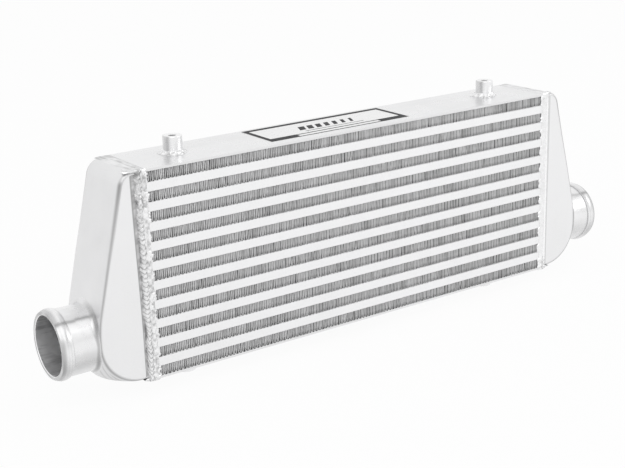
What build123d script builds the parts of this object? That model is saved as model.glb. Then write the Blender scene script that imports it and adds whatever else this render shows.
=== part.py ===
from build123d import *
import math
import os

# Bar-and-plate charge-air intercooler, all in aluminium.
# X runs from tank to tank, Y is the way the cooling air goes, Z is up.
# The origin is the centre of the core. Lengths are in millimetres.

# Core: charge tubes and air-fin rows stacked between two plates
core_length = 450.0
plate_thickness = 2.0
tube_count = 10
tube_height = 7.7
tube_bar_width = 6.0
parting_sheet = 0.6
fin_row_height = 9.0
header_bar_width = 8.3

# Corrugated sheets
fin_pitch = 3.5
fin_sheet = 0.2
fin_setback = 0.8
turbulator_pitch = 4.0
turbulator_sheet = 0.2

# Pipes, cast on the tanks, each with a hose bead at its open end
pipe_outer_diameter = 57.0
pipe_wall = 3.0
pipe_side_margin = 3.25
pipe_bottom_margin = 11.5
pipe_stick_out = 32.0
pipe_root_round = 5.0
bead_width = 10.0
bead_shoulder = 1.0
bead_height = 2.0

# Tanks, set in a little from the core's front, rear and bottom
tank_wall = 3.0
tank_inset = 1.5
tank_foot_lift = 1.5
tank_top_reach = 13.7
tank_bottom_reach = 43.0
tank_knee_above_pipe = 15.3
tank_top_corner = 14.0
tank_knee_radius = 100.0
tank_bottom_corner = 24.0
tank_edge_round = 2.5

# Mounting bosses, two on each plate, set in from the core's ends and a little behind its middle
boss_inset = 52.0
boss_offset_y = 3.0
boss_diameter = 16.5
boss_height = 15.0
boss_chamfer = 0.6
thread_hole_diameter = 6.8
thread_depth = 12.0
drill_point_angle = 118.0

# Welds
seam_width = 9.0
seam_height = 1.8
boss_weld_leg = 4.0

# Sticker on the top plate
label_length = 150.0
label_width = 50.0
label_thickness = 0.2
label_offset_x = -16.0
label_offset_y = 2.7

# Worked out from the sizes above
fin_row_count = tube_count + 1
layer_pitch = tube_height + fin_row_height
stack_height = tube_count * tube_height + fin_row_count * fin_row_height
core_height = stack_height + 2 * plate_thickness
core_depth = pipe_outer_diameter + 2 * pipe_side_margin
core_end = core_length / 2
pipe_radius = pipe_outer_diameter / 2
bore_radius = pipe_radius - pipe_wall
pipe_axis_z = -core_height / 2 + pipe_bottom_margin + pipe_radius
tank_end = core_end + tank_bottom_reach
tank_half_depth = core_depth / 2 - tank_inset
pipe_end = tank_end + pipe_stick_out
knee_z = pipe_axis_z + tank_knee_above_pipe


def serpentine(span, height, pitch, sheet):
    """Section of a corrugated sheet with square waves, centred on the sketch origin."""
    waves = int(span / pitch)
    start = -waves * pitch / 2
    end = start + waves * pitch
    crest = height / 2
    skin = sheet / 2
    upper = [(start - skin, -crest)]
    lower = [(start + skin, -crest)]
    for wave in range(waves):
        rise = start + wave * pitch
        fall = rise + pitch / 2
        upper += [(rise - skin, crest), (fall + skin, crest)]
        upper += [(fall + skin, sheet - crest), (rise + pitch - skin, sheet - crest)]
        lower += [(rise + skin, crest - sheet), (fall - skin, crest - sheet)]
        lower += [(fall - skin, -crest), (rise + pitch + skin, -crest)]
    upper[-1] = (end + skin, sheet - crest)
    return make_face(Polyline(*upper, *reversed(lower), close=True))


def end_plate(side):
    """Flat plate that closes the stack; side is 1 for the top and -1 for the bottom."""
    level = side * (core_height - plate_thickness) / 2
    return Pos(0, 0, level) * Box(core_length, core_depth, plate_thickness)


def charge_tube():
    """Front bar, rear bar and two parting sheets, brazed into one flat tube."""
    passage_depth = core_depth - 2 * tube_bar_width
    passage_height = tube_height - 2 * parting_sheet
    return Box(core_length, core_depth, tube_height) - Box(core_length, passage_depth, passage_height)


def turbulator():
    """Corrugated sheet that fills a charge tube, with its channels along the tube."""
    span = core_depth - 2 * tube_bar_width
    section = serpentine(span, tube_height - 2 * parting_sheet, turbulator_pitch, turbulator_sheet)
    return extrude(Plane.YZ * section, core_length / 2, both=True)


def air_fin():
    """Corrugated sheet between two tubes, with its channels from front to back."""
    span = core_length - 2 * header_bar_width
    section = serpentine(span, fin_row_height, fin_pitch, fin_sheet)
    return extrude(Plane.XZ * section, core_depth / 2 - fin_setback, both=True)


def header_bars():
    """Pair of bars that close a fin row towards the two tanks."""
    reach = core_end - header_bar_width / 2
    bar = Box(header_bar_width, core_depth, fin_row_height)
    return Compound(children=[Pos(-reach, 0, 0) * bar, Pos(reach, 0, 0) * bar])


def tank_outline(start):
    """Side outline of the right tank, open-ended towards the core at the given X."""
    top = core_height / 2
    bottom = tank_foot_lift - top
    shoulder = (core_end + tank_top_reach, top)
    knee = (tank_end, knee_z)
    foot = (tank_end, bottom)
    radii = [tank_top_corner, tank_knee_radius, tank_bottom_corner]
    wrap = FilletPolyline((start, top), shoulder, knee, foot, (start, bottom), radius=radii)
    return make_face(wrap + Line((start, bottom), (start, top)))


def tank_body():
    """Right tank without its hollow and its pipe, with its front and rear edges rounded."""
    body = extrude(Plane.XZ * tank_outline(core_end), tank_half_depth, both=True)
    rims = body.edges().filter_by(lambda edge: abs(abs(edge.center().Y) - tank_half_depth) < 0.01)
    rims = rims.filter_by(lambda edge: edge.center().X > core_end + 0.01)
    return fillet(rims, tank_edge_round)


def tank_hollow():
    """Inside of the right tank, which runs out through the open side at the core."""
    outline = offset(tank_outline(core_end - 2 * tank_wall), amount=-tank_wall)
    return extrude(Plane.XZ * outline, tank_half_depth - tank_wall, both=True)


def along_pipe(radius, low, high):
    """Cylinder on the right pipe's axis between two values of X."""
    middle = (low + high) / 2
    return Pos(middle, 0, pipe_axis_z) * Rot(0, 90, 0) * Cylinder(radius, high - low)


def hose_bead():
    """Rounded bead at the right pipe's end, which keeps a clamped hose on."""
    start = pipe_end - bead_width
    shoulder = (start, pipe_radius + bead_shoulder)
    crest = (pipe_end - bead_width / 2, pipe_radius + bead_height)
    lip = (pipe_end, pipe_radius)
    sides = Polyline(lip, (pipe_end, bore_radius), (start, bore_radius), shoulder)
    section = make_face(sides + ThreePointArc(shoulder, crest, lip))
    return Pos(0, 0, pipe_axis_z) * revolve(Plane.XZ * section, Axis.X)


def tank():
    """Right tank, cast in one piece with its pipe, hollow and open to the core."""
    body = tank_body()
    spigot = along_pipe(pipe_radius, tank_end - tank_bottom_corner, pipe_end)
    joined = body + spigot
    root = new_edges(body, spigot, combined=joined)
    casting = fillet(root, pipe_root_round) + hose_bead()
    return casting - tank_hollow() - along_pipe(bore_radius, core_end, pipe_end)


def tank_weld():
    """Bead round the seam between the core and the right tank."""
    outer = Box(seam_width, core_depth + 2 * seam_height, core_height + 2 * seam_height)
    ridges = outer.edges().filter_by(Axis.X, reverse=True)
    bead = Pos(core_end, 0, 0) * fillet(ridges, 0.9 * seam_height)
    core = Box(core_length, core_depth, core_height)
    return bead - core - tank_body()


def mounting_boss():
    """Threaded boss that stands on the plane Z = 0."""
    blank = Pos(0, 0, boss_height / 2) * Cylinder(boss_diameter / 2, boss_height)
    top_rim = blank.edges().sort_by(Axis.Z)[-1]
    blank = chamfer(top_rim, boss_chamfer)
    hole_radius = thread_hole_diameter / 2
    hole = Pos(0, 0, boss_height - thread_depth / 2) * Cylinder(hole_radius, thread_depth)
    point_depth = hole_radius / math.tan(math.radians(drill_point_angle / 2))
    point_level = boss_height - thread_depth - point_depth / 2
    point = Pos(0, 0, point_level) * Cone(0, hole_radius, point_depth)
    return blank - hole - point


def boss_weld():
    """Hollow-faced fillet of weld metal round the foot of a boss that stands on Z = 0."""
    radius = boss_diameter / 2
    toe = (radius + boss_weld_leg, 0)
    top = (radius, boss_weld_leg)
    face = RadiusArc(toe, top, -1.5 * boss_weld_leg)
    section = make_face(face + Polyline(top, (radius, 0), toe))
    return revolve(Plane.XZ * section, Axis.Z)


def at_boss(piece, side, end):
    """Piece moved to the boss on the top (side 1) or bottom (side -1), left (end -1) or right."""
    turn = Rot(0, 0, 0) if side > 0 else Rot(180, 0, 0)
    return Pos(end * (core_end - boss_inset), boss_offset_y, side * core_height / 2) * turn * piece


def label():
    """Thin rectangular sticker on the top plate."""
    level = core_height / 2 + label_thickness / 2
    return Pos(label_offset_x, label_offset_y, level) * Box(label_length, label_width, label_thickness)


def stacked(piece, name, count, lowest):
    """Copies of one piece up the stack, numbered from the bottom."""
    return {f"{name}_{index + 1:02d}": Pos(0, 0, lowest + index * layer_pitch) * piece
            for index in range(count)}


def core_nodes():
    """Plates, tubes, header bars and corrugated sheets of the core."""
    lowest_row = (fin_row_height - stack_height) / 2
    lowest_tube = lowest_row + layer_pitch / 2
    nodes = {"top_plate": end_plate(1), "bottom_plate": end_plate(-1)}
    nodes |= stacked(air_fin(), "air_fin", fin_row_count, lowest_row)
    nodes |= stacked(header_bars(), "header_bars", fin_row_count, lowest_row)
    nodes |= stacked(charge_tube(), "charge_tube", tube_count, lowest_tube)
    nodes |= stacked(turbulator(), "turbulator", tube_count, lowest_tube)
    return nodes


def end_nodes():
    """Tank and its weld at the right end, mirrored to the left."""
    nodes = {"right_tank": tank(), "right_tank_weld": tank_weld()}
    mirrored = {"left_tank": "right_tank", "left_tank_weld": "right_tank_weld"}
    return nodes | {left: mirror(nodes[right], about=Plane.YZ) for left, right in mirrored.items()}


def boss_nodes():
    """Four mounting bosses, each with the weld round its foot."""
    boss = mounting_boss()
    weld = boss_weld()
    nodes = {}
    for level, side in {"upper": 1, "lower": -1}.items():
        for hand, end in {"left": -1, "right": 1}.items():
            nodes[f"{level}_{hand}_boss"] = at_boss(boss, side, end)
            nodes[f"{level}_{hand}_boss_weld"] = at_boss(weld, side, end)
    return nodes


all_nodes = core_nodes() | end_nodes() | boss_nodes() | {"label": label()}

os.makedirs("parts", exist_ok=True)
for node, solid in all_nodes.items():
    export_step(solid, f"parts/{node}.step")
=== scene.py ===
import bpy
import math
import numpy as np
from mathutils import Matrix, Vector

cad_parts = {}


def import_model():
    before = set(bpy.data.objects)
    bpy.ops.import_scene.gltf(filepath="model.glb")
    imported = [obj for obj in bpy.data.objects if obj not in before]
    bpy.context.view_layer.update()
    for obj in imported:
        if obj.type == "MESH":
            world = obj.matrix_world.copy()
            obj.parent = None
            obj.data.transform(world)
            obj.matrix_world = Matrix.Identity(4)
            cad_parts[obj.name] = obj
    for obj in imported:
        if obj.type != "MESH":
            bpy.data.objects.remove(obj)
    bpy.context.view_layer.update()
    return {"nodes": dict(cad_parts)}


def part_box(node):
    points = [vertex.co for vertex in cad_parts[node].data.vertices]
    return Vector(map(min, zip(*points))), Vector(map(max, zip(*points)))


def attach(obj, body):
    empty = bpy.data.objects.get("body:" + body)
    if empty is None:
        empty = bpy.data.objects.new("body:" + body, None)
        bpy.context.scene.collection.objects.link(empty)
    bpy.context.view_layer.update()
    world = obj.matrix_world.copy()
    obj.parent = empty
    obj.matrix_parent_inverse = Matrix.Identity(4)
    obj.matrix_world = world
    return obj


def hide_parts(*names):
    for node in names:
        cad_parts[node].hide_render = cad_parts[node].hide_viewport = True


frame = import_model()


def box_mm(node):
    """Lowest and highest corner of a CAD node, in millimetres."""
    return [[round(c * 1000, 3) for c in corner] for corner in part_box(node)]


# Sizes of the CAD part in millimetres: first those that the frame's boxes give, then the rest
CORE_END, HALF_DEPTH, HALF_HEIGHT = box_mm("top_plate")[1]
TANK_LOW, TANK_HIGH = box_mm("right_tank")
TANK_FOOT, PIPE_END = TANK_LOW[2], TANK_HIGH[0]
FIN_LOW, FIN_HIGH = (corner[2] for corner in box_mm("air_fin_01"))
FIN_HEIGHT, ROW_LOW = FIN_HIGH - FIN_LOW, (FIN_LOW + FIN_HIGH) / 2
LAYER_PITCH = round(box_mm("air_fin_02")[0][2] - FIN_LOW, 3)
BOSS_H = box_mm("upper_right_boss")[1][2] - HALF_HEIGHT
TANK_HALF, TANK_SHOULDER, TANK_KNEE_Z, TANK_END, WALL = 30.25, 238.7, -34.7, 268.0, 3.0
TOP_CORNER_R, KNEE_R = 14.0, 100.0
PIPE_Z, PIPE_R, BORE_R, BEAD_START, ROOT_R = -50.0, 28.5, 25.5, 290.0, 5.0
BOSS_X, BOSS_Y, BOSS_R, THREAD_R, THREAD_DEPTH = 173.0, 3.0, 8.25, 3.4, 12.0


# ---------------------------------------------------------------- small maths

def hashed(seed, *cells):
    """A fixed random number from 0 to 1 for each cell."""
    value = seed * 74.7
    for weight, cell in zip((127.1, 311.7, 191.3), cells):
        value = value + cell * weight
    value = np.sin(value) * 43758.5453
    return value - np.floor(value)


def noise1(seed, x):
    """Smooth noise along a line, from -1 to 1."""
    cell = np.floor(x)
    t = x - cell
    t = t * t * (3 - 2 * t)
    return (hashed(seed, cell) * (1 - t) + hashed(seed, cell + 1) * t) * 2 - 1


def noise2(seed, x, y):
    """Smooth noise over a plane, from -1 to 1."""
    cx, cy = np.floor(x), np.floor(y)
    tx, ty = x - cx, y - cy
    tx, ty = tx * tx * (3 - 2 * tx), ty * ty * (3 - 2 * ty)
    low = hashed(seed, cx, cy) * (1 - tx) + hashed(seed, cx + 1, cy) * tx
    high = hashed(seed, cx, cy + 1) * (1 - tx) + hashed(seed, cx + 1, cy + 1) * tx
    return (low * (1 - ty) + high * ty) * 2 - 1


def unit(v):
    """Vectors scaled to length 1."""
    return v / np.maximum(np.linalg.norm(v, axis=-1, keepdims=True), 1e-12)


def ease(low, high, x):
    """0 at low, 1 at high, and a smooth step between; low may be the larger."""
    t = np.clip((x - low) / (high - low), 0, 1)
    return t * t * (3 - 2 * t)


# ---------------------------------------------------------------- mesh builder

class Build:
    """Patches of quads with their own normals, gathered into one object."""

    def __init__(self):
        self.co, self.no, self.tone, self.faces, self.mats = [], [], [], [], []
        self.count = 0

    def grid(self, points, normals=None, mat=0, wrap=False, tone=None, keep=None, outward=None):
        """A grid of points, (rows, columns, 3). wrap joins the last column to the first.
        Without normals they come from the faces, and outward says which side is out."""
        rows, cols = points.shape[:2]
        index = np.arange(rows * cols).reshape(rows, cols)
        if wrap:
            index = np.hstack([index, index[:, :1]])
        quads = np.stack([index[:-1, :-1], index[:-1, 1:], index[1:, 1:], index[1:, :-1]], -1).reshape(-1, 4)
        flat = points.reshape(-1, 3)
        face_normal = np.cross(flat[quads[:, 2]] - flat[quads[:, 0]], flat[quads[:, 3]] - flat[quads[:, 1]])
        if normals is None:
            normals = np.zeros_like(flat)
            for corner in range(4):
                np.add.at(normals, quads[:, corner], face_normal)
            if outward is not None and (normals @ np.array(outward, float)).sum() < 0:
                normals = -normals
        else:
            normals = np.broadcast_to(normals, points.shape).reshape(-1, 3)
        normals = unit(normals.astype(float))
        turn = np.einsum("ij,ij->i", face_normal, normals[quads].mean(1)) < 0
        quads[turn] = quads[turn][:, ::-1]
        if keep is not None:
            quads = quads[keep(flat[quads].mean(1))]
        self.co.append(flat)
        self.no.append(normals)
        tone = 1.0 if tone is None else tone
        self.tone.append(np.broadcast_to(tone, points.shape[:2]).reshape(-1))
        self.faces.append(quads + self.count)
        self.mats.append(np.full(len(quads), mat))
        self.count += len(flat)

    def mirrored(self):
        """The same patches on the other side of X = 0."""
        other = Build()
        flip = np.array([-1.0, 1, 1])
        other.co = [c * flip for c in self.co]
        other.no = [n * flip for n in self.no]
        other.tone = list(self.tone)
        other.faces = [f[:, ::-1] for f in self.faces]
        other.mats = list(self.mats)
        other.count = self.count
        return other

    def set_on_plate(self, x, sign):
        """Moves a boss's patches, built to stand on Z = 0, to the top plate (sign 1) or the bottom one (sign -1)."""
        place = np.array([x, BOSS_Y, sign * HALF_HEIGHT])
        self.co = [c * np.array([1, 1, sign]) + place for c in self.co]
        self.no = [n * np.array([1, 1, sign]) for n in self.no]
        if sign < 0:
            self.faces = [f[:, ::-1] for f in self.faces]

    def object(self, name, materials, node, slot):
        """The patches as one object in place of a CAD node, which it hides. slot is not used."""
        co, faces = np.vstack(self.co) * 0.001, np.vstack(self.faces)
        mesh = bpy.data.meshes.new(name)
        mesh.from_pydata(co.tolist(), [], faces.tolist())
        for material in materials:
            mesh.materials.append(material)
        mesh.polygons.foreach_set("material_index", np.hstack(self.mats).astype(np.int32))
        mesh.polygons.foreach_set("use_smooth", np.ones(len(faces), bool))
        layer = mesh.attributes.new("tone", "FLOAT_COLOR", "POINT")
        tone = np.hstack(self.tone)
        layer.data.foreach_set("color", np.stack([tone, tone, tone, np.ones_like(tone)], 1).ravel())
        mesh.update()
        mesh.normals_split_custom_set_from_vertices(np.vstack(self.no).tolist())
        made = bpy.data.objects.new(name, mesh)
        bpy.context.scene.collection.objects.link(made)
        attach(made, "root")
        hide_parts(node)
        return made


def lathe(build, profile, centre, mat=0, steps=96, axis="x", tone=None):
    """Turns (along, radius) points round an axis through centre; normals follow the profile."""
    profile = np.array(profile, float)
    step = np.gradient(profile, axis=0)
    side = np.stack([-step[:, 1], step[:, 0]], 1)
    angle = np.linspace(0, 2 * math.pi, steps, endpoint=False)
    round_ = np.stack([np.cos(angle), np.sin(angle)], 1)
    along, radius = profile[:, 0], profile[:, 1]
    points = np.zeros((len(profile), steps, 3))
    normals = np.zeros_like(points)
    a, b, c = (0, 1, 2) if axis == "x" else (2, 0, 1)
    points[:, :, a] = along[:, None]
    points[:, :, b] = radius[:, None] * round_[None, :, 0]
    points[:, :, c] = radius[:, None] * round_[None, :, 1]
    normals[:, :, a] = side[:, 0][:, None]
    normals[:, :, b] = side[:, 1][:, None] * round_[None, :, 0]
    normals[:, :, c] = side[:, 1][:, None] * round_[None, :, 1]
    tone = None if tone is None else np.array(tone)[:, None]
    build.grid(points + np.array(centre), normals, mat, wrap=True, tone=tone)


# ---------------------------------------------------------------- materials

def material(name):
    """A new material with one principled shader."""
    made = bpy.data.materials.new(name)
    made.use_nodes = True
    nodes = made.node_tree.nodes
    nodes.clear()
    out = nodes.new("ShaderNodeOutputMaterial")
    shader = nodes.new("ShaderNodeBsdfPrincipled")
    made.node_tree.links.new(shader.outputs[0], out.inputs[0])
    return made, made.node_tree, shader


def noise(tree, scale, detail=3.0, stretch=(1, 1, 1), rough=0.55, turn=(0, 0, 0)):
    """Noise texture in the object's own space."""
    place = tree.nodes.new("ShaderNodeTexCoord")
    mapping = tree.nodes.new("ShaderNodeMapping")
    mapping.inputs["Scale"].default_value = stretch
    mapping.inputs["Rotation"].default_value = turn
    texture = tree.nodes.new("ShaderNodeTexNoise")
    texture.inputs["Scale"].default_value = scale
    texture.inputs["Detail"].default_value = detail
    texture.inputs["Roughness"].default_value = rough
    tree.links.new(place.outputs["Object"], mapping.inputs["Vector"])
    tree.links.new(mapping.outputs[0], texture.inputs["Vector"])
    return texture.outputs["Fac"]


def spread(tree, value, low, high, out_low, out_high):
    """The value, from low to high, mapped to the range from out_low to out_high."""
    node = tree.nodes.new("ShaderNodeMapRange")
    for key, number in (("From Min", low), ("From Max", high), ("To Min", out_low), ("To Max", out_high)):
        node.inputs[key].default_value = number
    tree.links.new(value, node.inputs["Value"])
    return node.outputs["Result"]


def times(tree, a, b):
    """Product of two values."""
    node = tree.nodes.new("ShaderNodeMath")
    node.operation = "MULTIPLY"
    tree.links.new(a, node.inputs[0])
    tree.links.new(b, node.inputs[1])
    return node.outputs[0]


def tinted(tree, colour, value):
    """The colour, scaled by a grey value."""
    node = tree.nodes.new("ShaderNodeMix")
    node.data_type = "RGBA"
    node.inputs[6].default_value = (0, 0, 0, 1)
    node.inputs[7].default_value = (*colour, 1)
    tree.links.new(value, node.inputs[0])
    return node.outputs[2]


def bumped(tree, shader, *layers):
    """Bump from (value, height in metres) layers, one on another."""
    previous = None
    for value, height in layers:
        node = tree.nodes.new("ShaderNodeBump")
        node.inputs["Strength"].default_value = 1.0
        node.inputs["Distance"].default_value = height
        tree.links.new(value, node.inputs["Height"])
        if previous:
            tree.links.new(previous, node.inputs["Normal"])
        previous = node.outputs[0]
    tree.links.new(previous, shader.inputs["Normal"])


def aluminium(name, colour, roughness, patches=(14, 0.03), streaks=None, grain=(2500, 0.03, 2e-5),
              relief=None, toned=True, metal=1.0):
    """Metal with large soft patches, optional brushed streaks, fine grain and the mesh's tone, which holds painted
    light and shade as well.
    patches are (scale, amount), streaks (scale, stretch, turn, amount, height), grain (scale, amount, height)
    and relief (scale, height)."""
    made, tree, shader = material(name)
    shader.inputs["Metallic"].default_value = metal
    value = spread(tree, noise(tree, patches[0], 2.0), 0.3, 0.7, 1 - patches[1], 1 + patches[1])
    layers = []
    if streaks:
        scale, stretch, turn, amount, height = streaks
        lines = noise(tree, scale, 4.0, stretch, 0.6, turn)
        value = times(tree, value, spread(tree, lines, 0.3, 0.7, 1 - amount, 1 + amount * 0.6))
        layers.append((lines, height))
    scale, amount, height = grain
    specks = noise(tree, scale, 2.0)
    value = times(tree, value, spread(tree, specks, 0.3, 0.7, 1 - amount, 1 + amount))
    layers.append((specks, height))
    if relief:
        layers.append((noise(tree, relief[0], 3.0), relief[1]))
    if toned:
        tone = tree.nodes.new("ShaderNodeAttribute")
        tone.attribute_name = "tone"
        value = times(tree, value, tone.outputs["Fac"])
    tree.links.new(tinted(tree, colour, value), shader.inputs["Base Color"])
    rough = noise(tree, patches[0] * 6, 4.0)
    tree.links.new(spread(tree, rough, 0.3, 0.7, roughness - 0.07, roughness + 0.07), shader.inputs["Roughness"])
    bumped(tree, shader, *layers)
    return made


def film(name, colour, roughness, amount, specular):
    """Printed plastic film with fine mottling."""
    made, tree, shader = material(name)
    shader.inputs["Specular IOR Level"].default_value = specular
    value = spread(tree, noise(tree, 900, 3.0), 0.3, 0.7, 1 - amount, 1 + amount)
    tree.links.new(tinted(tree, colour, value), shader.inputs["Base Color"])
    tree.links.new(spread(tree, noise(tree, 120, 3.0), 0.3, 0.7, roughness - 0.05, roughness + 0.05),
                   shader.inputs["Roughness"])
    bumped(tree, shader, (noise(tree, 300, 2.0), 2e-5))
    return made


# The wrap is coloured darker than the face, a painted shade for the wrap turning away from the light; both are the same
# cast metal
WRAP = aluminium("tank_wrap", (0.80, 0.80, 0.805), 0.42, (9, 0.035), (60, (1, 1, 0.12), (0, 0, 0), 0.02, 1e-5))
FACE = aluminium("tank_face", (0.86, 0.86, 0.865), 0.45, (11, 0.02), (55, (1, 1, 0.15), (0, 0, 0), 0.015, 1e-5))
PIPE = aluminium("pipe_polished", (0.90, 0.90, 0.905), 0.30, (26, 0.03), (90, (0.10, 1, 1), (0, 0, 0), 0.06, 2e-5))
BORE = aluminium("pipe_bore", (0.80, 0.80, 0.805), 0.5, (45, 0.24), (170, (0.12, 1, 1), (0, 0, 0), 0.55, 9e-5))
INSIDE = aluminium("tank_inside", (0.66, 0.66, 0.665), 0.6, (30, 0.14), None, (700, 0.10, 1e-4))
WELD = aluminium("weld_bead", (0.92, 0.92, 0.925), 0.28, (120, 0.05), None, (1500, 0.06, 4e-5), (420, 1.5e-4))
SMOOTH = aluminium("weld_smooth", (0.99, 0.99, 0.995), 0.30, (60, 0.02), None, (1500, 0.03, 1e-5), (420, 3e-5))
DRESSED = aluminium("dressed_seam", (0.84, 0.84, 0.845), 0.36, (60, 0.05),
                    (520, (1, 0.10, 1), (0, 0, 0.7), 0.12, 6e-5))
PLATE = aluminium("plate", (0.81, 0.81, 0.815), 0.30, (12, 0.025), (70, (0.06, 1, 1), (0, 0, 0), 0.03, 1e-5),
                  toned=False)
TUBE = aluminium("tube_bar", (0.885, 0.885, 0.89), 0.55, (30, 0.015), None, (1400, 0.045, 5e-5), toned=False)
HEADER = aluminium("header_bar", (0.84, 0.84, 0.845), 0.5, (60, 0.04), None, (1400, 0.05, 6e-5), toned=False)
FIN = aluminium("air_fin", (0.96, 0.96, 0.965), 0.5, (90, 0.04), (420, (1, 0.15, 1), (0, 0, 0), 0.08, 3e-5), metal=0.15)
TURBULATOR = aluminium("turbulator", (0.55, 0.55, 0.555), 0.45, (90, 0.05),
                       (300, (0.15, 1, 1), (0, 0, 0), 0.06, 2e-5), toned=False)
BOSS = aluminium("boss_turned", (0.88, 0.88, 0.885), 0.24, (60, 0.04), (700, (1, 1, 0.05), (0, 0, 0), 0.05, 2e-5))
THREAD = aluminium("thread", (0.50, 0.50, 0.505), 0.4, (200, 0.08), None, (1500, 0.06, 3e-5))
FILM = film("label_film", (0.90, 0.90, 0.90), 0.30, 0.02, 0.5)
INK = film("label_ink", (0.022, 0.022, 0.024), 0.45, 0.10, 0.08)


# ---------------------------------------------------------------- tanks

def tank_profile(corner):
    """Outline of the right tank in (x, z), from the top of the seam round to its foot, with the given radius
    at the lower corner. Points and outward normals, as many for any radius."""
    corners = [np.array(c) for c in ((CORE_END, HALF_HEIGHT), (TANK_SHOULDER, HALF_HEIGHT), (TANK_END, TANK_KNEE_Z),
                                     (TANK_END, TANK_FOOT), (CORE_END, TANK_FOOT))]
    radii, straight_steps, turn_steps = (TOP_CORNER_R, KNEE_R, corner), (8, 60, 10), (16, 14, 30)
    points, normals = [], []

    def straight(a, b, count):
        direction = unit(b - a)
        for t in np.linspace(0, 1, count):
            points.append(a + (b - a) * t)
            normals.append(np.array([-direction[1], direction[0]]))

    here = corners[0]
    for corner_point, after, radius, count, turns in zip(corners[1:-1], corners[2:], radii, straight_steps,
                                                         turn_steps):
        before, onward = unit(corner_point - here), unit(after - corner_point)
        half = math.acos(float(np.clip(before @ onward, -1, 1))) / 2
        reach = radius * math.tan(half)
        start, end = corner_point - before * reach, corner_point + onward * reach
        straight(here, start, count)
        centre = start - np.array([-before[1], before[0]]) * radius
        first = math.atan2(before[0], -before[1])
        for k in range(1, turns):
            angle = first - 2 * half * k / turns
            normals.append(np.array([math.cos(angle), math.sin(angle)]))
            points.append(centre + normals[-1] * radius)
        here = end
    straight(here, corners[-1], 14)
    return np.array(points), np.array(normals)


# The lower corner is tight in the middle and widens towards the front and rear faces
MIDDLE_CORNER_R, RIM_CORNER_R, MIDDLE_BAND = 17.5, 38.5, 3
MIDDLE, MIDDLE_N = tank_profile(MIDDLE_CORNER_R)
RIM, RIM_N = tank_profile(RIM_CORNER_R)

# Radius of the front and rear edges, which grows towards the top
ROUND = np.interp(RIM[:, 1], [15, 45], [2.2, 3.0])


def skin(y, inset):
    """Points (x, z) of the tank's skin at depth y, one for each outline point, moved in by inset."""
    share = np.clip((np.abs(y) - MIDDLE_BAND) / (TANK_HALF - MIDDLE_BAND), 0, 1) ** 2
    share = np.broadcast_to(share, len(RIM))[:, None]
    normal = unit(MIDDLE_N * (1 - share) + RIM_N * share)
    return MIDDLE * (1 - share) + RIM * share - normal * np.broadcast_to(inset, len(RIM))[:, None]


def skin_x(y, z):
    """X of the tank's outer skin over points of the pipe's end view."""
    x = np.full(y.shape, -1e3)
    for place in np.ndindex(y.shape):
        if abs(y[place]) < TANK_HALF:
            over = np.clip((abs(y[place]) - TANK_HALF + ROUND) / ROUND, 0, 1)
            curve = skin(y[place], ROUND * (1 - np.sqrt(1 - over ** 2)))[10:-13][::-1]
            if z[place] > curve[0, 1]:
                x[place] = np.interp(z[place], curve[:, 1], curve[:, 0])
    return x


# Painted reflections and light round the pipe, as bands of tone: middle in degrees up from the front, half width in
# degrees, change of tone
REFLECTION_BANDS = [(-28, 16, -0.16), (6, 11, 0.17), (42, 10, 0.16), (54, 3.2, -0.42), (92, 28, 0.08)]


def painted_reflection(facing):
    """Tone of the painted reflections and light round the pipe's girth, by degrees up from the front."""
    away = (facing + 180) % 360 - 180
    bands = sum(change * np.exp(-((away - middle) / half) ** 2) for middle, half, change in REFLECTION_BANDS)
    return np.clip(0.85 + bands, 0, 1)


def calmed(away, soft):
    """The painted reflections with their contrast scaled by soft, from 0 to 1; below 1 it also paints shade over the
    lamp's highlight near 36 degrees up.
    """
    return (1 - (1 - painted_reflection(away)) * soft) * (1 - 0.75 * (1 - soft) * np.exp(-((away - 36) / 16) ** 2))


# How evenly each tank was welded, 0 for plain dimes and 1 for a smooth bead
CALM = {"left": 0.0, "right": 0.8}

# How much of the painted reflections' contrast each pipe shows
REFLECTION_SHARE = {"left": 1.0, "right": 0.6}

# Painted shade along the tank's rounded front and rear edges: its tone by height
EDGE_HEIGHTS = [-90, -60, -50, -20, 30, 51, 64, 76, 81, 84, 90]
EDGE_SHADE_TONES = [0.60, 0.52, 0.50, 0.585, 0.585, 0.555, 0.52, 0.44, 0.42, 0.66, 0.80]

# Materials of a tank, by slot
ON_WRAP, ON_FACE, ON_PIPE, ON_BORE, ON_INSIDE = range(5)

# The tank's skin is left open inside this radius of the pipe's axis, beyond this X
OPENING_R, OPENING_X = 27.0, 240

# Groove between a tank's face and the weld: where the face ends, and where the groove is deepest
GROOVE_EDGE_X, GROOVE_FLOOR_X = 229.3, 226.9

PIPE_STEPS = 144


def bead_tone(points):
    """Tone of the hose bead: the pipe's painted reflections, hand-rubbed stripes round it, a darker lip and a darker
    end face.
    """
    facing = np.degrees(np.arctan2(points[:, 2] - PIPE_Z, -points[:, 1]))
    stripe = noise2(41, points[:, 0] / 1.3, facing / 55)
    lip = ease(BEAD_START + 5.5, PIPE_END - 0.6, points[:, 0]) * (1 - 0.75 * np.exp(-((facing - 32) / 13) ** 2))
    blot = noise2(43, points[:, 0] / 3, facing / 16)
    tone = painted_reflection(facing + 2.0) * (0.96 + 0.11 * stripe + 0.05 * blot) * (1 - 0.30 * lip)
    # painted shade that dims the lamp's highlight on the bead near 36 degrees up
    tone = tone * (1 - 0.26 * np.exp(-((facing - 36) / 15) ** 2))
    rim = points[:, 0] > PIPE_END - 0.3
    return np.clip(np.where(rim, 0.60 + 0.10 * blot, tone), 0.3, 1)


def off_pipe(centres):
    """Which faces lie clear of the pipe's opening."""
    return ~((np.hypot(centres[:, 1], centres[:, 2] - PIPE_Z) < OPENING_R) & (centres[:, 0] > OPENING_X))


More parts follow.
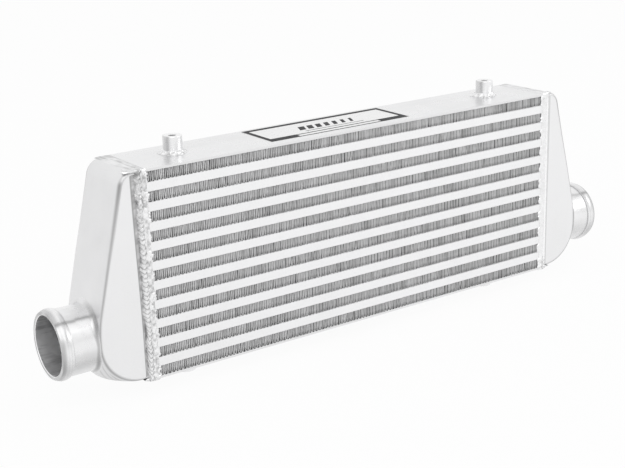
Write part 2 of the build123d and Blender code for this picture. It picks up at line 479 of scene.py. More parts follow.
def tank_wrap(build):
    """The wrap from the top round to the foot, and its rounded edges, as one grid."""
    height = RIM[:, 1]
    below = np.degrees(np.arctan2(-RIM_N[:, 1], RIM_N[:, 0]))
    corner = ease(5, 30, below) * ease(88, 60, below)
    line = np.interp(height, EDGE_HEIGHTS, EDGE_SHADE_TONES)
    width = np.interp(height, [-90, -30, 50, 75], [0.9, 0.95, 1.6, 2.0])
    theta = np.radians(np.linspace(0, 90, 13))
    columns, tones = [], []
    for sign, angles in ((-1, theta), (1, theta[::-1])):
        for t in angles:
            y = sign * (TANK_HALF - ROUND * (1 - math.cos(t)))
            place = skin(y, ROUND * (1 - math.sin(t)))
            columns.append(np.stack([place[:, 0], y, place[:, 1]], 1))
            # a painted dark line on the rounded edge, standing in for the dark that the rounding reflects
            tones.append(1 - (1 - line) * np.exp(-(ROUND * (t - 0.75) / width) ** 2))
        if sign < 0:
            for f in np.linspace(-1, 1, 61)[1:-1]:
                y = f * (TANK_HALF - ROUND)
                place = skin(y, 0.0)
                columns.append(np.stack([place[:, 0], y, place[:, 1]], 1))
                # creases that fan out round the lower corner
                fan = np.abs(y) + 3.0 * noise1(61, below / 30) + 0.06 * below
                lines = np.maximum(np.exp(-((fan - 30) / 0.8) ** 2), 0.8 * np.exp(-((fan - 26.5) / 0.7) ** 2))
                lines = np.maximum(lines, 0.6 * np.exp(-((fan - 21) / 1.0) ** 2))
                soft = 0.025 * noise2(71, y / 9, height / 30)
                tones.append(1 - 0.30 * corner * lines + np.minimum(soft, 0))
    build.grid(np.stack(columns, 1), None, ON_WRAP, tone=np.stack(tones, 1), keep=off_pipe, outward=(1, 0, 0))


def tank_faces(build, calm):
    """Flat front and rear faces, with a groove along the weld, painted darker as shade."""
    inner = skin(TANK_HALF, ROUND)
    z = inner[:, 1]
    sunk = (0.8 - 0.6 * calm) * ease(-86.5, -79, z)
    groove = np.minimum(GROOVE_EDGE_X - 0.5 * calm + (2.4 - 1.6 * calm) * ease(-60, 90, z), inner[:, 0])

    def across(x, y):
        return np.stack([x, np.full(len(z), y) if np.ndim(y) == 0 else y, z], 1)

    for sign in (-1, 1):
        outline, seam = across(inner[:, 0], sign * TANK_HALF), across(groove, sign * TANK_HALF)
        low = across(np.full(len(z), GROOVE_FLOOR_X), sign * (TANK_HALF - sunk))
        facing = np.array([0.0, sign, 0.0])
        build.grid(np.stack([outline, (outline + seam) / 2, seam], 1), facing, ON_FACE)
        # painted shade in the groove and along its edge by the weld
        dark = (0.60 + 0.16 * noise1(5, z / 3) + 0.10 * noise1(6, z / 1.2)) * (1 - calm) + 0.92 * calm
        line = np.full(len(z), 0.42 * (1 - calm) + 0.86 * calm)
        foot = across(np.full(len(z), CORE_END), low[:, 1])
        build.grid(np.stack([low, foot], 1), facing, ON_FACE, tone=(dark * 0.9)[:, None])
        build.grid(np.stack([seam, seam * 0.82 + low * 0.18, seam * 0.5 + low * 0.5, low], 1), facing, ON_FACE,
                   tone=np.stack([np.full(len(z), 0.85), line, dark, dark * 0.9], 1))


def tank_hollow(build):
    """Hollow inside of the tank, seen through the pipe."""
    inside = RIM - RIM_N * WALL
    inside[:, 0] = np.maximum(inside[:, 0], CORE_END)
    count, reach = len(inside), TANK_HALF - WALL

    def row(y):
        return np.stack([inside[:, 0], np.full(count, y), inside[:, 1]], 1)

    normal = np.stack([RIM_N[:, 0], np.zeros(count), RIM_N[:, 1]], 1)
    rows = [row(f * reach) for f in np.linspace(-1, 1, 29)]
    build.grid(np.stack(rows, 1), -normal[:, None, :], ON_INSIDE, keep=off_pipe)
    for sign in (-1, 1):
        edge = row(sign * reach)
        foot = edge.copy()
        foot[:, 0] = CORE_END
        build.grid(np.stack([edge, foot], 1), np.array([0.0, -sign, 0.0]), ON_INSIDE)


def pipe(build, soft):
    """The pipe up to its bead, and its root: a ball of the root's radius rolled between pipe and skin."""
    angle = np.linspace(0, 2 * math.pi, PIPE_STEPS, endpoint=False)
    cy, cz = np.cos(angle), np.sin(angle)
    facing = np.degrees(np.arctan2(cz, -cy))  # 0 towards the front, 90 at the top
    # painted reflections and light round the pipe
    reflection_tone = calmed(facing, soft)
    # painted shade in the concave root between pipe and skin, strongest towards the front, near 38 degrees up and near
    # 35 degrees down
    front = ease(95, 70, facing) * ease(-110, -80, facing)
    shaded = 0.06 + 0.22 * front
    shaded = shaded + 0.26 * np.exp(-((facing - 38) / 28) ** 2) + 0.22 * np.exp(-((facing + 35) / 25) ** 2)
    reach = np.linspace(PIPE_R, PIPE_R + 2 * ROOT_R, 61)
    middle = PIPE_R + ROOT_R
    under = skin_x(reach[:, None] * cy[None], PIPE_Z + reach[:, None] * cz[None])
    lift = under + np.sqrt(np.clip(ROOT_R ** 2 - (reach[:, None] - middle) ** 2, 0, None))
    touch = np.argmax(lift, 0)
    ball = lift[touch, np.arange(PIPE_STEPS)]
    kernel = np.hanning(9) / np.hanning(9).sum()
    ball = np.convolve(np.hstack([ball[-4:], ball, ball[:4]]), kernel, mode="valid")
    end_radius, end_x = reach[touch], under[touch, np.arange(PIPE_STEPS)]
    finish = np.arctan2(end_radius - middle, ball - end_x)  # 0 is straight down on the skin

    # the skin's own normal where the ball leaves it
    ty, tz = end_radius * cy, PIPE_Z + end_radius * cz
    lean_y = (skin_x(ty + 0.6, tz) - skin_x(ty - 0.6, tz)) / 1.2
    lean_z = (skin_x(ty, tz + 0.6) - skin_x(ty, tz - 0.6)) / 1.2
    gentle = (np.abs(lean_y) < 1.5) & (np.abs(lean_z) < 1.5)
    ground = unit(np.stack([np.ones(PIPE_STEPS), -lean_y * gentle, -lean_z * gentle], 1))

    rows, row_normals, tones = [], [], []
    for k in range(13):
        blend = k / 12
        a = -math.pi / 2 + (finish + math.pi / 2) * k / 12
        radius, x = middle + ROOT_R * np.sin(a), ball - ROOT_R * np.cos(a)
        rows.append(np.stack([x, radius * cy, PIPE_Z + radius * cz], 1))
        ball_normal = np.stack([np.cos(a), -np.sin(a) * cy, -np.sin(a) * cz], 1)
        share = (ease(0.45, 1, blend) * gentle)[:, None]
        row_normals.append(unit(ball_normal * (1 - share) + ground * share))
        tones.append((reflection_tone * (1 - blend) + 0.90 * blend) * (1 - shaded * math.sin(math.pi * blend)))
    build.grid(np.stack(rows), np.stack(row_normals), ON_PIPE, wrap=True, tone=np.stack(tones))

    along = np.linspace(0, 1, 10)[:, None]
    x = ball[None] * (1 - along) + (BEAD_START - 0.4) * along
    y, z = np.broadcast_to(PIPE_R * cy, x.shape), np.broadcast_to(PIPE_Z + PIPE_R * cz, x.shape)
    outer = np.stack([x, y, z], -1)
    around = np.stack([np.zeros(PIPE_STEPS), cy, cz], 1)
    # the painted reflections, wandering a little along the pipe
    wander = np.stack([calmed(facing + 1.5 * noise1(31, row / 4 + 9), soft) for row in x])
    build.grid(outer, np.broadcast_to(around, outer.shape), ON_PIPE, wrap=True, tone=wander)


def hose_bead(build):
    """Hose bead, rim and bore of the pipe."""
    centre = (0, 0, PIPE_Z)
    shoulder = [(BEAD_START - 0.4, PIPE_R), (BEAD_START - 0.05, PIPE_R - 0.35), (BEAD_START, PIPE_R - 0.1),
                (BEAD_START, PIPE_R + 0.7), (BEAD_START + 0.35, PIPE_R + 1.05)]
    # the groove from pipe into bead is painted darker as shade
    lathe(build, shoulder[::-1], centre, ON_PIPE, PIPE_STEPS, tone=[0.92, 0.80, 0.74, 0.78, 0.92])
    crest = [(BEAD_START + 0.35 + 9.0 * t,
              PIPE_R + 1.05 + 0.95 * math.sin(math.pi * min(1, t * 1.02)) - 0.75 * t ** 2.4)
             for t in np.linspace(0, 1, 14)]
    lip_x, lip_r = crest[-1]
    lip = [(lip_x, lip_r)] + [(PIPE_END - 0.65 + 0.65 * math.sin(a), lip_r - 0.65 + 0.65 * math.cos(a))
                              for a in np.radians(np.linspace(15, 90, 6))]
    first = len(build.co)
    lathe(build, crest[::-1], centre, ON_PIPE, PIPE_STEPS)
    lathe(build, lip[::-1], centre, ON_PIPE, PIPE_STEPS)
    lathe(build, [(PIPE_END, BORE_R + 0.5), (PIPE_END, lip_r - 0.65)], centre, ON_PIPE, PIPE_STEPS)
    for k in range(first, len(build.co)):
        build.tone[k] = bead_tone(build.co[k])
    lathe(build, [(PIPE_END - 0.5, BORE_R), (PIPE_END - 0.15, BORE_R + 0.15), (PIPE_END, BORE_R + 0.5)], centre,
          ON_PIPE, PIPE_STEPS)
    lathe(build, [(x, BORE_R) for x in np.linspace(250.0, PIPE_END - 0.5, 12)], centre, ON_BORE, PIPE_STEPS)


def tank(side):
    """Tank with its pipe, built on the right and mirrored for the left."""
    build = Build()
    tank_wrap(build)
    tank_faces(build, CALM[side])
    tank_hollow(build)
    pipe(build, REFLECTION_SHARE[side])
    hose_bead(build)
    if side == "left":
        build = build.mirrored()
    return build.object(f"{side}_tank_cast", [WRAP, FACE, PIPE, BORE, INSIDE], f"{side}_tank", "cast_tank")


for side in ("left", "right"):
    tank(side)


# ---------------------------------------------------------------- tank welds

# Upright welds of the right seam: the row of dimes by the tank and the row of lumps by the core
DIME_CENTRE, DIME_HALF, DIME_PITCH, DIME_SWEEP = 224.3, 2.75, 3.9, 2.4
LUMP_CENTRE, LUMP_EDGE, LUMP_REACH = 219.6, 216.6, 3.9

# Seam across the top and bottom: its middle, its half width, and where the tank's top corner begins
SEAM_CENTRE, SEAM_HALF, CORNER_START = 224.8, 6.4, 227.6

# Ends of the upright welds, the fall from the core's face to the tank's, and how far the welds may stand out
WELD_FOOT, FRONT_TOP, REAR_TOP = -90.9, 90.9, 90.0
STEP_START, STEP_END, STEP_DEPTH = 224.8, 227.4, 2.3
STAND_OUT = 1.75


def coins(along, q, pitch, seed, sweep=2.2):
    """Height and tone of overlapping dimes along a bead; q runs from -1 to 1 across it."""
    phase = (along - sweep * np.abs(q) ** 1.6 + 0.8 * noise1(seed, along / 6)) / pitch
    part = phase - np.floor(phase)
    height = part ** 0.7 * ease(1.0, 0.86, part)
    # painted shade where each dime meets the next
    seam = np.exp(-(np.minimum(part, 1 - part) / 0.15) ** 2)
    each = hashed(seed + 1, np.floor(phase))
    return height * (0.75 + 0.5 * each), 1 - (0.46 + 0.36 * each) * seam


def bead_height(along, x, seed, calm):
    """Height and tone of an upright weld: dimes by the tank and lumps by the core, with a painted highlight on the
    dimes' crest and painted shade where the runs meet, at their thin edges and under the top front lump.
    """
    wild = ease(-10, 70, along)
    calm = calm * ease(-86, -70, along)
    centre = DIME_CENTRE + 0.5 * noise1(seed, along / 7) + 0.9 * calm
    half = DIME_HALF + 0.45 * noise1(seed + 1, along / 4) * (1 - 0.6 * calm)
    q = (x - centre) / half
    dome = np.sqrt(np.clip(1 - q ** 2, 0, 1))
    ripple, ripple_tone = coins(along, q, DIME_PITCH, seed + 2, DIME_SWEEP + 4.0 * ease(-35, -60, along))
    rough = noise2(seed + 3, along / 2.1 + x / 3, x / 1.7 - along / 5)
    ripple, ripple_tone, rough = ripple * (1 - calm), 1 - (1 - ripple_tone) * (1 - calm), rough * (1 - 0.8 * calm)
    first = dome * (0.75 + 0.7 * ripple * (1 - 0.65 * wild) + 0.45 * wild * rough + 0.12 * rough)
    first_tone = 0.84 * (ripple_tone * (1 - 0.6 * wild) + 0.6 * wild * (0.90 + 0.42 * rough))
    # painted highlight along the crest of the dimes
    first_tone = first_tone + 0.14 * dome ** 3 * (1 - 0.6 * wild)

    row = (along - ROW_LOW) / LAYER_PITCH
    offset = (row - np.round(row)) * LAYER_PITCH
    over_fins = ease(5.2, 3.8, np.abs(offset))
    tooth = noise1(seed + 4, along / 1.3) * 0.5 + noise1(seed + 5, along / 3.1) * 0.5
    edge = LUMP_EDGE - over_fins * (0.4 + 1.7 * np.clip(tooth + 0.2, -0.3, 1)) + (1 - over_fins) * 0.7
    w = np.where(x < LUMP_CENTRE, (LUMP_CENTRE - x) / (LUMP_CENTRE - edge), (x - LUMP_CENTRE) / LUMP_REACH)
    swell = np.clip(1 - w ** 2, 0, 1) ** 0.42
    lumps = noise2(seed + 8, along / 2.6, x / 2.2) * 0.6 + noise2(seed + 9, along / 1.2, x / 1.1) * 0.4
    lumps = lumps * (1 - 0.7 * calm)
    second = swell * (1.0 + 0.55 * lumps)
    second_tone = 0.85 + 0.46 * lumps + 0.20 * over_fins * ease(219, 216.5, x) * (1 - calm)
    streak = noise2(seed + 6, along / 1.1 + 1.6 * np.abs(q), q * 2.2 + along / 9)
    first_tone = (first_tone - 0.22 * np.clip(streak, 0, 1) * dome) * (1 - calm) + calm
    second_tone = second_tone * (1 - 0.8 * calm) + 0.8 * calm * 0.90
    height = np.maximum(first, second)
    tone = np.where(first > second, first_tone, second_tone)
    # painted shade where the two runs meet, along their thin edges, and under the lump at the top front corner
    valley_shade = np.exp(-(np.abs(first - second) / 0.14) ** 2) * (height > 0.2)
    rim = np.clip(1 - height / 0.45, 0, 1)
    under = 0.34 * ease(83.5, 86.5, along) * ease(221, 225, x) * (1 - calm)
    return height, np.clip(tone - (0.34 * valley_shade + 0.30 * rim) * (1 - 0.7 * calm) - under, 0.30, 1.0)


def upright_bead(build, face, seed, calm):
    """Weld up the front (face -1) or back (face 1) of the right seam, from the core down to the tank."""
    top = FRONT_TOP if face < 0 else REAR_TOP
    along = np.linspace(WELD_FOOT, top - 0.1, 524)
    x = np.linspace(213.6, 230.6, 56)
    a, b = np.meshgrid(along, x, indexing="ij")
    height, tone = bead_height(a, b, seed, calm)
    end = np.sqrt(np.clip(np.minimum(top - a, a + 91.1) / 1.4, 0, 1))
    ground = HALF_DEPTH - STEP_DEPTH * ease(STEP_START, STEP_END, b)
    y = face * np.minimum(ground + height * end - 0.12, HALF_DEPTH + STAND_OUT)

    def stands_out(c):
        return np.abs(c[:, 1]) > HALF_DEPTH - 0.1 - STEP_DEPTH * ease(STEP_START, STEP_END, c[:, 0])

    build.grid(np.stack([b, y, a], -1), None, 0, tone=tone, outward=(0, face, 0), keep=stands_out)


def flat_bead(build, level, seed, side):
    """Weld across the top (level 1), dressed nearly flush, or the bottom (level -1), left as laid."""
    along = np.linspace(-31.9, 31.9, 170)
    x = np.linspace(218.0, 231.5, 54)
    a, b = np.meshgrid(along, x, indexing="ij")
    q = (b - SEAM_CENTRE) / SEAM_HALF
    dome = np.sqrt(np.clip(1 - q ** 2, 0, 1))
    if level > 0:
        scratch = noise2(seed, a / 13 + b / 7, b / 1.1 - a / 9)
        patch = noise2(seed + 1, a / 7, b / 4)
        height = 0.10 + (0.16 + 0.10 * scratch + 0.12 * patch) * dome ** 2
        tone = 1 - (0.42 * np.clip(scratch, 0, 1) + 0.16 * np.clip(patch, 0, 1)) * dome
        # painted shade towards the seam's rear end
        tone = tone - 0.26 * (1 - CALM[side]) * ease(19, 27, a + 3 * patch) * ease(217, 220, b)
        # the seam runs over the tank's top corner
        past = np.clip(b - CORNER_START, 0, TOP_CORNER_R)
        ground = HALF_HEIGHT - TOP_CORNER_R + np.sqrt(TOP_CORNER_R ** 2 - past ** 2)
    else:
        ripple, tone = coins(a, q, 3.8, seed)
        height = dome * (0.45 + 0.4 * ripple)
        ground = HALF_HEIGHT - (HALF_HEIGHT + TANK_FOOT) * ease(225.2, 229.2, b)
    end = np.sqrt(np.clip((32.2 - np.abs(a)) / 1.5, 0, 1))
    z = level * (ground + height * end - 0.1)
    build.grid(np.stack([b, a, z], -1), None, 1 if level > 0 else 0, tone=tone, outward=(0, 0, level))


def blob(build, centre, size, seed, shade=1.0):
    """Rounded lump of weld metal, painted darker underneath as shade, its tone scaled by shade."""
    turn = np.linspace(0, 2 * math.pi, 48, endpoint=False)
    lat, lon = np.meshgrid(np.linspace(0, math.pi, 25), turn, indexing="ij")
    direction = np.stack([np.sin(lat) * np.cos(lon), np.sin(lat) * np.sin(lon), np.cos(lat)], -1)
    swell = 1 + 0.12 * noise2(seed, direction[..., 0] * 2.6 + 7, direction[..., 2] * 2.6 + direction[..., 1] * 2.1)
    points = np.array(centre) + direction * np.array(size) * swell[..., None]
    low, high = np.array([0, -33.5, -91.7]), np.array([400, 33.5, 91.7])
    # painted shade: darker on the underside, lighter on top
    tone = 0.62 + 0.26 * ease(-0.7, 0.0, direction[..., 2]) + 0.20 * noise2(seed + 1, direction[..., 0] * 5, lat * 3)
    tone = np.clip(tone, 0.4, 1) * shade
    build.grid(np.clip(points, low, high), None, 0, wrap=True, tone=tone, outward=(0, 0, 1))


# Of each weld: seed, material, and place in X and size of the lump at its front top corner
WELDS = {"left": (11, WELD, 228.8, (9.2, 4.7, 2.0)), "right": (47, SMOOTH, 226.4, (5.0, 3.6, 1.6))}

for side, (seed, metal, corner_x, corner_size) in WELDS.items():
    weld = Build()
    upright_bead(weld, -1, seed, CALM[side])
    upright_bead(weld, 1, seed + 20, CALM[side])
    flat_bead(weld, 1, seed + 3, side)
    flat_bead(weld, -1, seed + 5, side)
    blob(weld, (corner_x, -27.6, 89.6), corner_size, seed - 1, 0.93)
    blob(weld, (225.2, 30.2, 88.9), (3.6, 2.0, 1.2), seed + 1, 0.92)
    for face in (-1, 1):
        blob(weld, (219.0, face * 31.0, 86.6), (2.6, 1.9, 3.0), seed + 15 + face)
        blob(weld, (227.2, face * 29.5, -89.2), (2.9, 1.6, 1.3), seed + 25 + face, 0.9)
    if side == "left":
        weld = weld.mirrored()
    weld.object(f"{side}_tank_weld_bead", [metal, DRESSED], f"{side}_tank_weld", "weld")


# ---------------------------------------------------------------- air fins

# Rows, walls of each sheet and half a wave; then the sheet's setback from the core's faces and its reach in X
FIN_ROWS, FIN_WALLS, FIN_STEP = 11, 247, 1.75
FIN_START = -(FIN_WALLS - 1) / 2 * FIN_STEP
FIN_SETBACK, FIN_REACH = 0.8, 216.6


def air_fin(name, level, row):
    """Corrugated sheet with rounded crests, slightly uneven, folded into a herringbone from front to back."""
    build = Build()
    seed = 100 + row
    rng = np.random.default_rng(seed)
    x0 = FIN_START + FIN_STEP * np.arange(FIN_WALLS)
    drift = np.cumsum(rng.normal(0, 0.05, FIN_WALLS))
    drift -= np.linspace(drift[0], drift[-1], FIN_WALLS)
    top = x0 + drift + rng.normal(0, 0.17, FIN_WALLS)
    bottom = x0 + drift + rng.normal(0, 0.17, FIN_WALLS)
    pinch = 0.24 * np.where(np.arange(FIN_WALLS) % 2 == 0, 1, -1)
    tight = rng.uniform(-0.3, 1.1, FIN_WALLS // 2 + 1).repeat(2)[:FIN_WALLS]
    bottom += pinch * tight
    top -= pinch * tight * 0.6
    top, bottom = (np.clip(x, 0.2 - FIN_REACH, FIN_REACH - 0.2) for x in (top, bottom))
    half = FIN_HEIGHT / 2 - 0.06
    line = []
    for k in range(FIN_WALLS):
        up = k % 2 == 0
        rise = [(bottom[k], -half + 0.55), (0.65 * bottom[k] + 0.35 * top[k], -half * 0.3),
                (0.35 * bottom[k] + 0.65 * top[k], half * 0.3), (top[k], half - 0.55)]
        line += rise if up else rise[::-1]
        if k + 1 < FIN_WALLS:
            edge, sign = (top, 1) if up else (bottom, -1)
            gap = edge[k + 1] - edge[k]
            crest = sign * (half - 0.08)
            line += [(edge[k] + 0.22 * gap, crest), (edge[k + 1] - 0.22 * gap, crest)]
    line = np.array(line)
    y = np.linspace(-(HALF_DEPTH - FIN_SETBACK), HALF_DEPTH - FIN_SETBACK, 12)
    fold = np.where(np.arange(12) % 2 == 0, 1.0, -1.0) * 0.95
    fold[0] = fold[-1] = 0.15
    across = np.clip(line[:, 0][None] + fold[:, None], -FIN_REACH, FIN_REACH)
    points = np.stack([across, np.broadcast_to(y[:, None], across.shape),
                       np.broadcast_to(line[:, 1][None] + level, across.shape)], -1)
    # each wall has its own tone, with more contrast in the top row; painted light and shade too: every second wall
    # darker, the sheet lighter at the left than at the right, and the foot of each pocket darker
    lively = 1.0 + 0.5 * (row == FIN_ROWS - 1)
    wall = np.clip(np.round((line[:, 0] - FIN_START) / FIN_STEP), 0, FIN_WALLS - 1).astype(int)
    each = rng.uniform(-1, 1, FIN_WALLS)
    each[rng.random(FIN_WALLS) < 0.10] = -2.2
    shade = np.where(wall % 2 == 0, 1.0, 0.68) * (1.05 - 0.14 * line[:, 0] / 216)
    shade = shade + lively * (0.13 * each[wall] + 0.05 * noise1(seed, line[:, 0] / 17))
    # painted shade at the foot of each pocket
    foot = np.exp(-((line[:, 1] + half - 0.35) / 0.9) ** 2)
    shade = np.clip(shade * (1 - 0.55 * foot), 0.15, 1.0)
    build.grid(points, None, 0, tone=np.broadcast_to(shade, across.shape))
    # cut edges of the sheet, front and rear
    tangent = unit(np.gradient(line, axis=0))
    side = np.stack([-tangent[:, 1], tangent[:, 0]], 1) * 0.18
    limit = FIN_REACH + 0.05
    for k, sign in ((0, -1), (-1, 1)):
        a, b = line + side, line - side
        strip = [np.stack([np.clip(p[:, 0] + fold[k], -limit, limit), np.full(len(line), y[k] + sign * 0.02),
                           np.clip(p[:, 1], -half - 0.05, half + 0.05) + level], 1) for p in (a, b)]
        build.grid(np.stack(strip, 1), np.array([0.0, sign, 0.0]), 0,
                   tone=np.clip(0.95 + 0.25 * noise1(seed + 7, line[:, 0] / 3), 0.7, 1.0)[:, None])
    return build.object(name + "_sheet", [FIN], name, "air_fin")


for row in range(FIN_ROWS):
    air_fin(f"air_fin_{row + 1:02d}", ROW_LOW + row * LAYER_PITCH, row)


# ---------------------------------------------------------------- bosses and their welds

# Painted light and shade round a boss's wall and rim: tone by degrees from +X
BOSS_ANGLES = [0, 60, 140, 195, 206, 213, 222, 240, 300, 360]
BOSS_LIGHT_AND_SHADE = [0.93, 0.84, 0.80, 0.80, 0.66, 0.62, 0.86, 1.0, 1.0, 0.93]

# The thread: steps a turn, turns and pitch
THREAD_STEPS, THREAD_TURNS, THREAD_PITCH = 48, 9.2, 1.25


def boss(node, x, sign):
    """Turned boss with a rounded rim and a real thread."""
    build = Build()
    top = BOSS_H
    lathe(build, [(z, BOSS_R) for z in np.linspace(0, top - 0.7, 12)], (0, 0, 0), 0, 64, "z")
    lathe(build, [(top - 0.7 + 0.55 * math.sin(a), BOSS_R - 0.55 + 0.55 * math.cos(a))
                  for a in np.radians(np.linspace(0, 90, 6))] + [(top, BOSS_R - 0.8)], (0, 0, 0), 0, 64, "z")
    lathe(build, [(top, BOSS_R - 0.8), (top, THREAD_R + 0.7)], (0, 0, 0), 0, 64, "z")
    lathe(build, [(top, THREAD_R + 0.7), (top - 0.7, THREAD_R)], (0, 0, 0), 0, 64, "z")
    ridge = [(0.0, THREAD_R), (0.45, THREAD_R + 0.55), (0.62, THREAD_R + 0.58), (1.07, THREAD_R + 0.02),
             (THREAD_PITCH, THREAD_R)]
    steps = np.arange(0, THREAD_TURNS * THREAD_STEPS + 1)
    angle = steps / THREAD_STEPS * 2 * math.pi
    grid = np.array([[(r * math.cos(t), r * math.sin(t), top - 0.6 - u - THREAD_PITCH * k / THREAD_STEPS)
                      for u, r in ridge] for k, t in zip(steps, angle)])
    inward = np.stack([-np.cos(angle), -np.sin(angle), np.zeros_like(angle)], 1)[:, None, :]
    lean = np.array([0.0, 0.8, 0.0, -0.8, 0.0])[None, :, None] * np.array([0, 0, 1.0])
    build.grid(grid, inward + lean, 1)
    lathe(build, [(top - THREAD_DEPTH, THREAD_R), (top - THREAD_DEPTH - 2.0, 0.02)], (0, 0, 0), 1, 48, "z")
    # paint the light and shade round the wall and rim
    for k in (0, 1):
        away = np.degrees(np.arctan2(build.co[k][:, 1], build.co[k][:, 0])) % 360
        build.tone[k] = np.interp(away, BOSS_ANGLES, BOSS_LIGHT_AND_SHADE)
    build.set_on_plate(x, sign)
    return build.object(node + "_turned", [BOSS, THREAD], node, "boss")


def boss_weld(node, x, sign, seed):
    """Uneven ring of weld metal round the foot of a boss."""
    build = Build()
    angle = np.linspace(0, 2 * math.pi, 161)[:-1]
    t = np.linspace(0, 1, 22)[:, None]
    around = angle[None]
    cx, cy = np.cos(around), np.sin(around)
    reach = 3.9 + 0.9 * noise2(seed, cx * 2.1 + 5, cy * 2.1) + 2.4 * np.exp(-((around - 2.65) / 0.30) ** 2)
    rise = 3.1 + 0.9 * noise2(seed + 1, cx * 2.6, cy * 2.6 + 4)
    radius = BOSS_R - 0.1 + reach * t
    rough = noise2(seed + 2, radius * cx / 1.5, radius * cy / 1.5)
    dimes = np.abs(np.sin(around * 7 + 2.6 * t + 1.5 * rough + seed)) ** 0.6
    swell = np.sin(math.pi * np.clip(t, 0, 1)) ** 0.6
    height = rise * (1 - t) ** 1.5 + swell * (0.55 * dimes + 0.40 * rough + 0.15)
    points = np.stack([radius * cx, radius * cy, np.clip(height, -0.1, 4.6) - 0.15 * (t > 0.99)], -1)
    # painted shade between the dimes, in the hollows and at the outer foot
    tone = np.clip(1.0 - 0.42 * (1 - dimes) * swell - 0.30 * np.clip(-rough, 0, 1) - 0.30 * (t > 0.94), 0.4, 1)
    build.grid(points, None, 0, wrap=True, tone=tone, outward=(0, 0, 1))
    build.set_on_plate(x, sign)
    return build.object(node + "_bead", [WELD], node, "weld")


for level, sign in (("upper", 1), ("lower", -1)):
    for k, (hand, end) in enumerate((("left", -1), ("right", 1))):
        boss(f"{level}_{hand}_boss", end * BOSS_X, sign)
        boss_weld(f"{level}_{hand}_boss_weld", end * BOSS_X, sign, 3 + 2 * k + sign)


# ---------------------------------------------------------------- label

# Widths of the sticker's printed frame: its margin, rear bar, side bars and front bars, and the front bars' length
PRINT_MARGIN, REAR_BAR, SIDE_BAR, FRONT_BAR, FRONT_LENGTH = 0.1, 5.6, 4.6, 9.5, 31


def label():
    """Sticker: a film with a plain dark frame, two thin lines in front and a row of slanted bars."""
    build = Build()
    low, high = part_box("label")
    x0, y0, z0 = [c * 1000 for c in low]
    x1, y1, z1 = [c * 1000 for c in high]

    def rect(a, b, c, d, level, mat, slant=0.0):
        points = np.array([[(a, b, level), (c, b, level)], [(a + slant, d, level), (c + slant, d, level)]], float)
        build.grid(points, np.array([0.0, 0, 1]), mat)

    film_top, ink_top = z1 - 0.02, z1
    rect(x0, y0, x1, y1, film_top, 0)
    for a, b, normal in (((x0, y0), (x1, y0), (0, -1, 0)), ((x1, y0), (x1, y1), (1, 0, 0)),
                         ((x1, y1), (x0, y1), (0, 1, 0)), ((x0, y1), (x0, y0), (-1, 0, 0))):
        side = np.array([[(*a, z0), (*b, z0)], [(*a, film_top), (*b, film_top)]], float)
        build.grid(side, np.array(normal, float), 0)
    e = PRINT_MARGIN
    rect(x0 + e, y1 - e - REAR_BAR, x1 - e, y1 - e, ink_top, 1)
    rect(x0 + e, y0 + e, x0 + e + SIDE_BAR, y1 - e - REAR_BAR, ink_top, 1)
    rect(x1 - e - SIDE_BAR, y0 + e, x1 - e, y1 - e - REAR_BAR, ink_top, 1)
    for a, b in ((x0 + e + SIDE_BAR, x0 + FRONT_LENGTH), (x1 - FRONT_LENGTH, x1 - e - SIDE_BAR)):
        rect(a, y0 + e, b, y0 + e + FRONT_BAR, ink_top, 1)
    rect(x0 + FRONT_LENGTH, y0 + e + 7.2, x1 - FRONT_LENGTH, y0 + e + 9.2, ink_top, 1)
    rect(x0 + FRONT_LENGTH, y0 + e, x1 - FRONT_LENGTH, y0 + e + 2.0, ink_top, 1)
    middle = (x0 + x1) / 2
    for k in range(7):
        start = middle - 32 + 9.2 * k
        rect(start, y0 + 20, start + 6.6 - 0.55 * k, y0 + 32, ink_top, 1, 5.0)
    rect(middle - 30, y0 + 14.5, middle + 34, y0 + 15.7, ink_top, 1)
    return build.object("label_print", [FILM, INK], "label", "label")


label()


# ---------------------------------------------------------------- finishes of the CAD nodes that stay

for names, finish in ((("top_plate", "bottom_plate"), PLATE),
                      ([f"header_bars_{k:02d}" for k in range(1, FIN_ROWS + 1)], HEADER),
                      ([f"charge_tube_{k:02d}" for k in range(1, FIN_ROWS)], TUBE),
                      ([f"turbulator_{k:02d}" for k in range(1, FIN_ROWS)], TURBULATOR)):
    for name in names:
        slots = frame["nodes"][name].data.materials
        for k in range(len(slots)):
            slots[k] = finish
        if not len(slots):
            slots.append(finish)


# ---------------------------------------------------------------- floor, light and camera

# Floor and studio, in metres: the floor lies under the lower bosses
FLOOR_Z, FLOOR_REACH, FLOOR_GLOW = -(HALF_HEIGHT + BOSS_H) / 1000, 12.0, 0.93
SOFT_STRENGTH, WHITE_STRENGTH = 0.75, 1.0


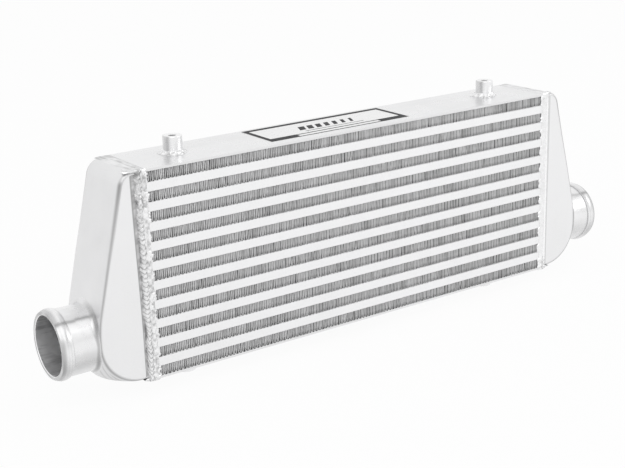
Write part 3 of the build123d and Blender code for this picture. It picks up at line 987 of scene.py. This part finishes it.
def floor():
    """Pale floor that keeps the object's shadow and looks nearly as white as the studio round it."""
    mesh = bpy.data.meshes.new("floor")
    r, low = FLOOR_REACH, FLOOR_Z
    mesh.from_pydata([(-r, -r, low), (r, -r, low), (r, r, low), (-r, r, low)], [], [(0, 1, 2, 3)])
    made, tree, shader = material("floor")
    shader.inputs["Roughness"].default_value = 0.9
    shader.inputs["Specular IOR Level"].default_value = 0.0
    tree.links.new(tinted(tree, (0.93, 0.93, 0.93), spread(tree, noise(tree, 3, 2.0), 0.3, 0.7, 0.995, 1.005)),
                   shader.inputs["Base Color"])
    light = tree.nodes.new("ShaderNodeEmission")
    light.inputs["Color"].default_value = (1, 1, 1, 1)
    light.inputs["Strength"].default_value = 1.0
    seen = background_rays(tree)
    mix = tree.nodes.new("ShaderNodeMixShader")
    part = tree.nodes.new("ShaderNodeMath")
    part.operation = "MULTIPLY"
    part.inputs[1].default_value = FLOOR_GLOW
    tree.links.new(seen, part.inputs[0])
    tree.links.new(part.outputs[0], mix.inputs[0])
    tree.links.new(shader.outputs[0], mix.inputs[1])
    tree.links.new(light.outputs[0], mix.inputs[2])
    out = next(n for n in tree.nodes if n.type == "OUTPUT_MATERIAL")
    tree.links.new(mix.outputs[0], out.inputs[0])
    mesh.materials.append(made)
    made_object = bpy.data.objects.new("floor", mesh)
    bpy.context.scene.collection.objects.link(made_object)


def background_rays(tree):
    """1 for camera, glossy and transmission rays."""
    path = tree.nodes.new("ShaderNodeLightPath")
    value = path.outputs["Is Camera Ray"]
    for name in ("Is Glossy Ray", "Is Transmission Ray"):
        node = tree.nodes.new("ShaderNodeMath")
        node.operation = "MAXIMUM"
        tree.links.new(value, node.inputs[0])
        tree.links.new(path.outputs[name], node.inputs[1])
        value = node.outputs[0]
    return value


def world():
    """White studio: soft light for the object, plain white where the camera or a reflection sees it."""
    made = bpy.data.worlds.new("studio")
    bpy.context.scene.world = made
    made.use_nodes = True
    tree = made.node_tree
    tree.nodes.clear()
    out = tree.nodes.new("ShaderNodeOutputWorld")
    soft, white = tree.nodes.new("ShaderNodeBackground"), tree.nodes.new("ShaderNodeBackground")
    soft.inputs["Color"].default_value = (1, 1, 1, 1)
    soft.inputs["Strength"].default_value = SOFT_STRENGTH
    white.inputs["Color"].default_value = (1, 1, 1, 1)
    white.inputs["Strength"].default_value = WHITE_STRENGTH
    mix = tree.nodes.new("ShaderNodeMixShader")
    tree.links.new(background_rays(tree), mix.inputs[0])
    tree.links.new(soft.outputs[0], mix.inputs[1])
    tree.links.new(white.outputs[0], mix.inputs[2])
    tree.links.new(mix.outputs[0], out.inputs[0])


def lamp(name, place, aim, size, power):
    """Rectangular lamp of that size in metres and power in watts, turned towards aim."""
    data = bpy.data.lights.new(name, "AREA")
    data.shape = "RECTANGLE"
    data.size, data.size_y = size
    data.energy = power
    made = bpy.data.objects.new(name, data)
    made.location = place
    direction = (np.array(aim) - np.array(place)).tolist()
    made.rotation_mode = "QUATERNION"
    made.rotation_quaternion = Vector(direction).to_track_quat("-Z", "Y")
    bpy.context.scene.collection.objects.link(made)


# The photo's camera: place in metres, directions of its right and down, and focal length in pixels of its width
CAMERA_PLACE = (-0.6809, -0.9368, 0.3479)
CAMERA_RIGHT, CAMERA_DOWN = np.array([0.8185, -0.5737, -0.0289]), np.array([-0.1942, -0.2291, -0.9538])
FOCAL_PIXELS, PHOTO_WIDTH, SENSOR = 1310.9, 625, 36.0


def camera():
    """The photo's camera."""
    data = bpy.data.cameras.new("camera")
    data.sensor_width = SENSOR
    data.lens = FOCAL_PIXELS / PHOTO_WIDTH * SENSOR
    data.clip_start, data.clip_end = 0.05, 60
    made = bpy.data.objects.new("camera", data)
    forward = np.cross(CAMERA_RIGHT, CAMERA_DOWN)
    columns = np.stack([axis / np.linalg.norm(axis) for axis in (CAMERA_RIGHT, -CAMERA_DOWN, -forward)], 1)
    matrix = Matrix.Identity(4)
    for i in range(3):
        for j in range(3):
            matrix[i][j] = columns[i, j]
    matrix.translation = CAMERA_PLACE
    made.matrix_world = matrix
    bpy.context.scene.collection.objects.link(made)
    bpy.context.scene.camera = made


world()
floor()
lamp("key", (-1.2, -1.6, 1.9), (0, 0, 0), (2.6, 2.0), 14)
lamp("fill", (1.6, -1.4, 1.2), (0, 0, 0), (1.4, 1.2), 7)
camera()
bpy.context.scene.view_settings.view_transform = "Standard"
